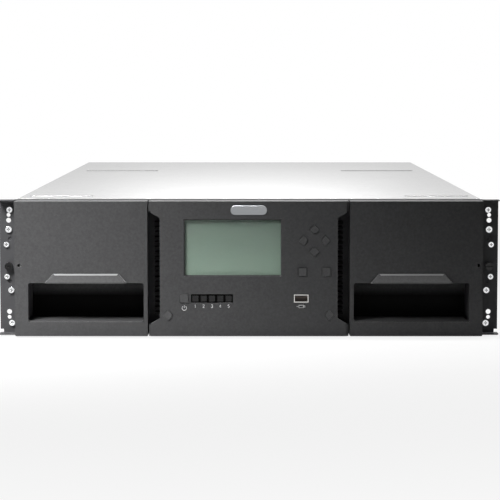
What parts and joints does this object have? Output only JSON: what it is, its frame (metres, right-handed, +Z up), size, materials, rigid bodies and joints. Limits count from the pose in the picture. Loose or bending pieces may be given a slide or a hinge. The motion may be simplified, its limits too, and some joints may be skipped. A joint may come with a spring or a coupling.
{
  "type": "data tape library",
  "caption": "Rack tape library with pull-out cartridge magazines, a front control panel, a lifting and turning cartridge robot, and plug-in drives and power supplies at the rear.",
  "frame": {"origin": "middle of the underside of the whole assembly's box", "axes": "+X to the right seen from the front, +Y from the front bezels to the rear panel, +Z up"},
  "size_m": [0.4826, 0.892, 0.1326],
  "materials": {
    "zinc_sheet": "zinc coated sheet",
    "cover_sheet": "pale zinc coated sheet",
    "black_ear": "satin black paint",
    "zinc_screw": "bright zinc",
    "black_screw": "black oxide",
    "charcoal_plastic": "fine texture",
    "key_plastic": "fine texture",
    "screen": "clear",
    "lcd_face": "satin",
    "light_bar_black": "gloss",
    "light_lens": "smoked",
    "socket_shell": "bright nickel",
    "circuit_board": "solder mask",
    "tray_steel": "zinc coated sheet",
    "grey_plastic": "moulded",
    "aluminium": "satin",
    "motor_black": "satin",
    "belt_rubber": "moulded",
    "rack_plastic": "acetal",
    "brass_gear": "machined",
    "gripper_plastic": "moulded",
    "drive_case": "satin",
    "fan_plastic": "moulded"
  },
  "bodies": {
    "chassis": {"base_pan": "zinc_sheet", "top_cover": "cover_sheet", "front_frame": "black_ear", "left_ear": "black_ear", "right_ear": "black_ear", "case_screws": "zinc_screw", "rack_thumbscrews": "black_screw", "control_panel_bezel": "charcoal_plastic", "lcd_panel": "lcd_face", "lcd_window": "screen", "led_bar": "light_bar_black", "led_lenses": "light_lens", "front_usb_port": "socket_shell", "control_board": "circuit_board", "magazine_runners": "rack_plastic", "lift_racks": "rack_plastic", "rear_cage": "zinc_sheet", "rear_panel": "zinc_sheet", "docking_boards": "circuit_board"},
    "left_magazine": {"left_magazine_bezel": "charcoal_plastic", "left_magazine_tray": "tray_steel", "left_slot_dividers": "grey_plastic", "left_slot_ledges": "grey_plastic"},
    "right_magazine": {"right_magazine_bezel": "charcoal_plastic", "right_magazine_tray": "tray_steel", "right_slot_dividers": "grey_plastic", "right_slot_ledges": "grey_plastic"},
    "power_key_body": {"power_key": "key_plastic"},
    "up_key_body": {"up_key": "key_plastic"},
    "down_key_body": {"down_key": "key_plastic"},
    "left_key_body": {"left_key": "key_plastic"},
    "right_key_body": {"right_key": "key_plastic"},
    "back_key_body": {"back_key": "key_plastic"},
    "enter_key_body": {"enter_key": "key_plastic"},
    "left_magazine_key_body": {"left_magazine_key": "key_plastic"},
    "right_magazine_key_body": {"right_magazine_key": "key_plastic"},
    "lift_frame": {"lift_rails": "aluminium", "lift_bridges": "aluminium", "lift_motor": "motor_black", "travel_belt": "belt_rubber"},
    "front_lift_shaft_body": {"front_lift_shaft": "brass_gear"},
    "rear_lift_shaft_body": {"rear_lift_shaft": "brass_gear"},
    "front_belt_pulley_body": {"front_belt_pulley": "aluminium"},
    "rear_belt_pulley_body": {"rear_belt_pulley": "aluminium"},
    "shuttle": {"shuttle_plate": "aluminium"},
    "turntable": {"turntable": "aluminium"},
    "transport_tray_body": {"transport_tray": "tray_steel"},
    "gripper_body": {"gripper": "gripper_plastic"},
    "drive_1": {"drive_sled_1": "zinc_sheet", "drive_unit_1": "drive_case"},
    "drive_2": {"drive_sled_2": "zinc_sheet", "drive_unit_2": "drive_case"},
    "drive_3": {"drive_sled_3": "zinc_sheet", "drive_unit_3": "drive_case"},
    "supply_1": {"power_supply_1": "zinc_sheet"},
    "fan_1": {"power_fan_1": "fan_plastic"},
    "supply_2": {"power_supply_2": "zinc_sheet"},
    "fan_2": {"power_fan_2": "fan_plastic"},
    "controller": {"controller_module": "zinc_sheet"}
  },
  "joints": [
    {"name": "left_magazine_slide", "type": "slide", "parent": "chassis", "child": "left_magazine", "axis": [0, -1, 0], "range_m": [0, 0.5]},
    {"name": "right_magazine_slide", "type": "slide", "parent": "chassis", "child": "right_magazine", "axis": [0, -1, 0], "range_m": [0, 0.5]},
    {"name": "power_key_press", "type": "slide", "parent": "chassis", "child": "power_key_body", "axis": [0, 1, 0], "range_m": [0, 0.0008], "stiffness_N_per_m": 400, "springref_m": -0.0006},
    {"name": "up_key_press", "type": "slide", "parent": "chassis", "child": "up_key_body", "axis": [0, 1, 0], "range_m": [0, 0.0008], "stiffness_N_per_m": 400, "springref_m": -0.0006},
    {"name": "down_key_press", "type": "slide", "parent": "chassis", "child": "down_key_body", "axis": [0, 1, 0], "range_m": [0, 0.0008], "stiffness_N_per_m": 400, "springref_m": -0.0006},
    {"name": "left_key_press", "type": "slide", "parent": "chassis", "child": "left_key_body", "axis": [0, 1, 0], "range_m": [0, 0.0008], "stiffness_N_per_m": 400, "springref_m": -0.0006},
    {"name": "right_key_press", "type": "slide", "parent": "chassis", "child": "right_key_body", "axis": [0, 1, 0], "range_m": [0, 0.0008], "stiffness_N_per_m": 400, "springref_m": -0.0006},
    {"name": "back_key_press", "type": "slide", "parent": "chassis", "child": "back_key_body", "axis": [0, 1, 0], "range_m": [0, 0.0008], "stiffness_N_per_m": 400, "springref_m": -0.0006},
    {"name": "enter_key_press", "type": "slide", "parent": "chassis", "child": "enter_key_body", "axis": [0, 1, 0], "range_m": [0, 0.0008], "stiffness_N_per_m": 400, "springref_m": -0.0006},
    {"name": "left_magazine_key_press", "type": "slide", "parent": "chassis", "child": "left_magazine_key_body", "axis": [0, 1, 0], "range_m": [0, 0.0008], "stiffness_N_per_m": 400, "springref_m": -0.0006},
    {"name": "right_magazine_key_press", "type": "slide", "parent": "chassis", "child": "right_magazine_key_body", "axis": [0, 1, 0], "range_m": [0, 0.0008], "stiffness_N_per_m": 400, "springref_m": -0.0006},
    {"name": "robot_lift", "type": "slide", "parent": "chassis", "child": "lift_frame", "axis": [0, 0, 1], "range_m": [0, 0.092]},
    {"name": "front_lift_shaft_turn", "type": "hinge", "parent": "lift_frame", "child": "front_lift_shaft_body", "pos_m": [0, -0.40605, 0.0308], "axis": [1, 0, 0], "range_deg": [-1, 879.54]},
    {"name": "rear_lift_shaft_turn", "type": "hinge", "parent": "lift_frame", "child": "rear_lift_shaft_body", "pos_m": [0, 0.1485, 0.0308], "axis": [-1, 0, 0], "range_deg": [-1, 879.54]},
    {"name": "robot_travel", "type": "slide", "parent": "lift_frame", "child": "shuttle", "axis": [0, 1, 0], "range_m": [-0.214, 0.1636]},
    {"name": "front_belt_pulley_turn", "type": "hinge", "parent": "lift_frame", "child": "front_belt_pulley_body", "pos_m": [-0.09401, -0.38805, 0.0308], "axis": [0, 0, 1], "range_deg": [-2852.46, 2180.9]},
    {"name": "rear_belt_pulley_turn", "type": "hinge", "parent": "lift_frame", "child": "rear_belt_pulley_body", "pos_m": [-0.09401, 0.133, 0.0308], "axis": [0, 0, 1], "range_deg": [-2852.46, 2180.9]},
    {"name": "robot_turn", "type": "hinge", "parent": "shuttle", "child": "turntable", "pos_m": [0, -0.10714, 0.0298], "axis": [0, 0, 1], "range_deg": [-90, 90]},
    {"name": "tray_reach", "type": "slide", "parent": "turntable", "child": "transport_tray_body", "axis": [0, 1, 0], "range_m": [0, 0.04205]},
    {"name": "gripper_reach", "type": "slide", "parent": "transport_tray_body", "child": "gripper_body", "axis": [0, 1, 0], "range_m": [0, 0.106]},
    {"name": "drive_slide_1", "type": "slide", "parent": "chassis", "child": "drive_1", "axis": [0, 1, 0], "range_m": [0, 0.28]},
    {"name": "drive_slide_2", "type": "slide", "parent": "chassis", "child": "drive_2", "axis": [0, 1, 0], "range_m": [0, 0.28]},
    {"name": "drive_slide_3", "type": "slide", "parent": "chassis", "child": "drive_3", "axis": [0, 1, 0], "range_m": [0, 0.28]},
    {"name": "supply_slide_1", "type": "slide", "parent": "chassis", "child": "supply_1", "axis": [0, 1, 0], "range_m": [0, 0.21]},
    {"name": "supply_slide_2", "type": "slide", "parent": "chassis", "child": "supply_2", "axis": [0, 1, 0], "range_m": [0, 0.21]},
    {"name": "fan_spin_1", "type": "hinge", "parent": "supply_1", "child": "fan_1", "pos_m": [-0.18445, 0.416, 0.0335], "axis": [0, 1, 0], "continuous": true},
    {"name": "fan_spin_2", "type": "hinge", "parent": "supply_2", "child": "fan_2", "pos_m": [-0.18445, 0.416, 0.0974], "axis": [0, 1, 0], "continuous": true},
    {"name": "controller_slide", "type": "slide", "parent": "chassis", "child": "controller", "axis": [0, 1, 0], "range_m": [0, 0.21]}
  ],
  "couplings": [
    {"joint": "front_lift_shaft_turn", "follows": "robot_lift", "rad_per_m": 166.67},
    {"joint": "rear_lift_shaft_turn", "follows": "robot_lift", "rad_per_m": 166.67},
    {"joint": "front_belt_pulley_turn", "follows": "robot_travel", "rad_per_m": 232.56},
    {"joint": "rear_belt_pulley_turn", "follows": "robot_travel", "rad_per_m": 232.56},
    {"joint": "tray_reach", "follows": "gripper_reach", "ratio": 0.39623}
  ]
}
